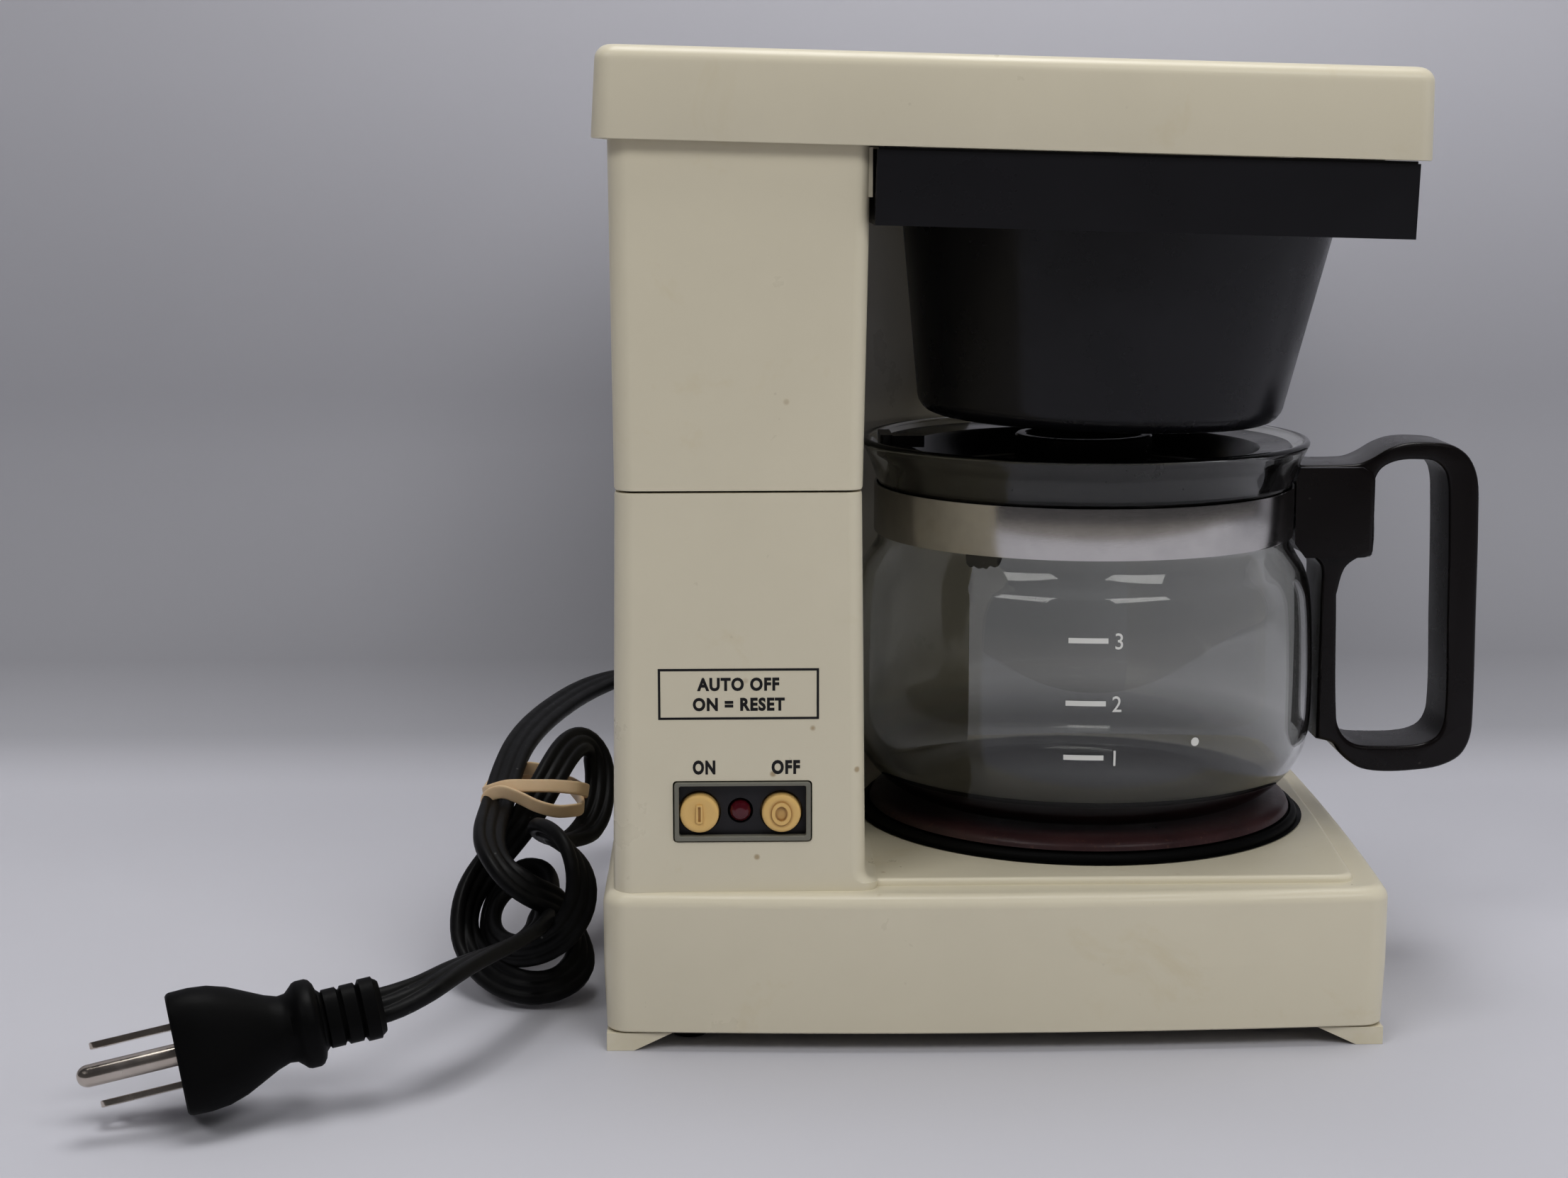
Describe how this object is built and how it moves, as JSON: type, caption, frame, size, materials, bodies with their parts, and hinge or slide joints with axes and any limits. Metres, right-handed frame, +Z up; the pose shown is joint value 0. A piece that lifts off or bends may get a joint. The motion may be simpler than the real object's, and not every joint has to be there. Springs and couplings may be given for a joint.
{
  "type": "drip coffee maker",
  "caption": "Small drip coffee maker with a side water column, hinged top cover, slide-out brew basket, glass carafe on a warming plate, push buttons and a tied-up power cord.",
  "frame": {"origin": "centre of the machine's footprint, on the surface it stands on, measured without the power cord and what is on it", "axes": "+Z up, -Y is the front with the buttons, +X towards the carafe handle, the water column is at -X"},
  "size_m": [0.3304, 0.2377, 0.2317],
  "materials": {
    "cream_plastic": "satin",
    "black_gloss_plastic": "glossy",
    "black_matte_plastic": "matte",
    "white_plastic": "translucent white",
    "silicone_hose": "milky",
    "cast_aluminium": "cast",
    "heater_steel": "oxidised",
    "zinc_steel": "zinc plated",
    "pin_steel": "nickel plated",
    "plate_enamel": "non-stick enamel, satin",
    "black_rubber": "matte",
    "foot_rubber": "matte",
    "grey_plastic": "matte",
    "tan_plastic": "satin",
    "red_lens": "clear red",
    "board_green": "lacquered",
    "clear_glass": "clear",
    "band_steel": "brushed round",
    "brown_plastic": "satin",
    "cord_black": "satin vinyl",
    "tan_rubber": "matte"
  },
  "bodies": {
    "machine": {"lower_housing": "cream_plastic", "upper_column": "cream_plastic", "head_frame": "cream_plastic", "cover_hinge_pin_left": "pin_steel", "cover_hinge_pin_right": "pin_steel", "spray_head": "white_plastic", "reservoir_tank": "white_plastic", "check_valve": "white_plastic", "cold_water_hose": "silicone_hose", "heater_water_tube": "cast_aluminium", "heater_rod": "heater_steel", "hot_water_riser": "silicone_hose", "thermostat": "black_matte_plastic", "thermal_fuse": "heater_steel", "heater_strap": "zinc_steel", "warming_plate": "plate_enamel", "plate_gasket": "black_rubber", "base_plate": "black_matte_plastic", "rubber_foot_front_left": "foot_rubber", "rubber_foot_front_right": "foot_rubber", "rubber_foot_rear_right": "foot_rubber", "rubber_foot_rear_left": "foot_rubber", "base_screw_front_left": "zinc_steel", "base_screw_front_right": "zinc_steel", "base_screw_rear_right": "zinc_steel", "base_screw_rear_left": "zinc_steel", "switch_bezel": "grey_plastic", "switch_panel": "black_matte_plastic", "on_switch": "black_matte_plastic", "off_switch": "black_matte_plastic", "indicator_lens": "red_lens", "indicator_lamp": "red_lens", "timer_board": "board_green", "timer_relay": "black_matte_plastic", "strain_relief": "cord_black", "cord_lead": "cord_black", "cord_tail": "cord_black", "cord_bundle": "cord_black", "rubber_band": "tan_rubber", "plug_body": "cord_black", "plug_blade_upper": "pin_steel", "plug_blade_lower": "pin_steel", "plug_ground_pin": "pin_steel"},
    "cover": {"top_cover": "cream_plastic"},
    "basket": {"brew_basket": "black_gloss_plastic"},
    "carafe": {"carafe_glass": "clear_glass", "carafe_band": "band_steel", "carafe_handle": "brown_plastic", "band_screw": "pin_steel"},
    "lid": {"carafe_lid": "black_gloss_plastic"},
    "button_on": {"on_button": "tan_plastic", "on_spring": "pin_steel"},
    "button_off": {"off_button": "tan_plastic", "off_spring": "pin_steel"}
  },
  "joints": [
    {"name": "cover_hinge", "type": "hinge", "parent": "machine", "child": "cover", "pos_m": [-0.0169, 0.07717, 0.20562], "axis": [-0.9996, 0, 0.0288], "range_deg": [0, 95]},
    {"name": "basket_slide", "type": "slide", "parent": "machine", "child": "basket", "axis": [0, -1, 0], "range_m": [0, 0.13]},
    {"name": "carafe_slide", "type": "slide", "parent": "machine", "child": "carafe", "axis": [0, -1, 0], "range_m": [0, 0.2]},
    {"name": "carafe_lid_twist", "type": "hinge", "parent": "carafe", "child": "lid", "pos_m": [0.01008, -0.00422, 0.135], "axis": [0, 0, 1], "range_deg": [0, 60]},
    {"name": "on_button_press", "type": "slide", "parent": "machine", "child": "button_on", "axis": [0, 1, 0], "range_m": [0, 0.0018], "stiffness_N_per_m": 600, "springref_m": -0.0015},
    {"name": "off_button_press", "type": "slide", "parent": "machine", "child": "button_off", "axis": [0, 1, 0], "range_m": [0, 0.0018], "stiffness_N_per_m": 600, "springref_m": -0.0015}
  ]
}
